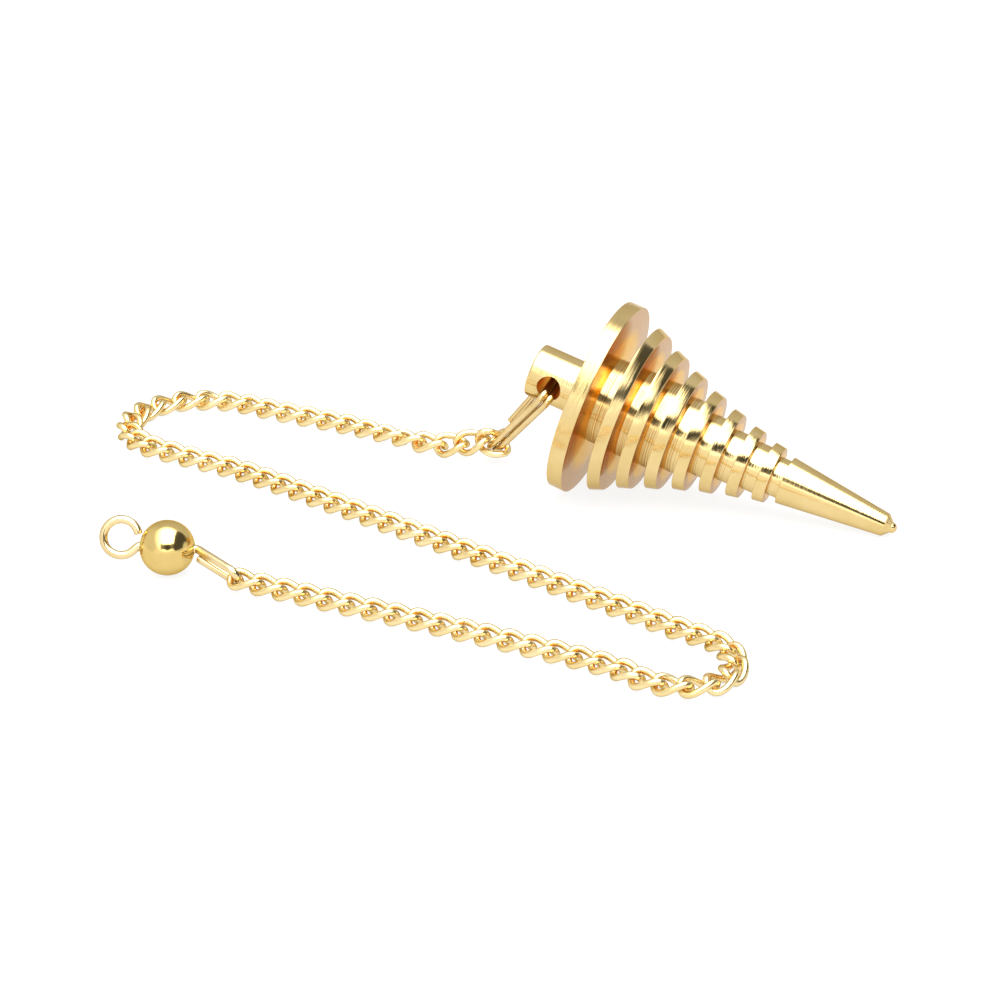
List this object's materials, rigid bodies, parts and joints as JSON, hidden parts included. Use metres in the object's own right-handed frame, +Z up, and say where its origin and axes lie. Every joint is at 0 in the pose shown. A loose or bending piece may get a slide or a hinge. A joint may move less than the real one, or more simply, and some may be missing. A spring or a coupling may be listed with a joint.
{
  "type": "pendulum pendant",
  "caption": "Turned brass pendulum of stepped discs and a cone on a double-wound wire bail and curb chain, with a bead and an open wire ring, lying on a surface.",
  "frame": {"origin": "middle of the layout's outline on the surface that it lies on", "axes": "+Z up from that surface, +X to the viewer's right, from the ring towards the tip, and +Y away from the viewer"},
  "size_m": [0.0866, 0.0724, 0.0216],
  "materials": {
    "turned_brass": "polished, with fine turning lines",
    "bail_brass": "polished wire",
    "chain_brass": "bright plated wire",
    "bead_brass": "polished",
    "pin_brass": "bright plated wire"
  },
  "bodies": {
    "root": {"bob": "turned_brass", "bail": "bail_brass", "chain": "chain_brass", "bead": "bead_brass", "eye_pin": "pin_brass"}
  },
  "joints": []
}
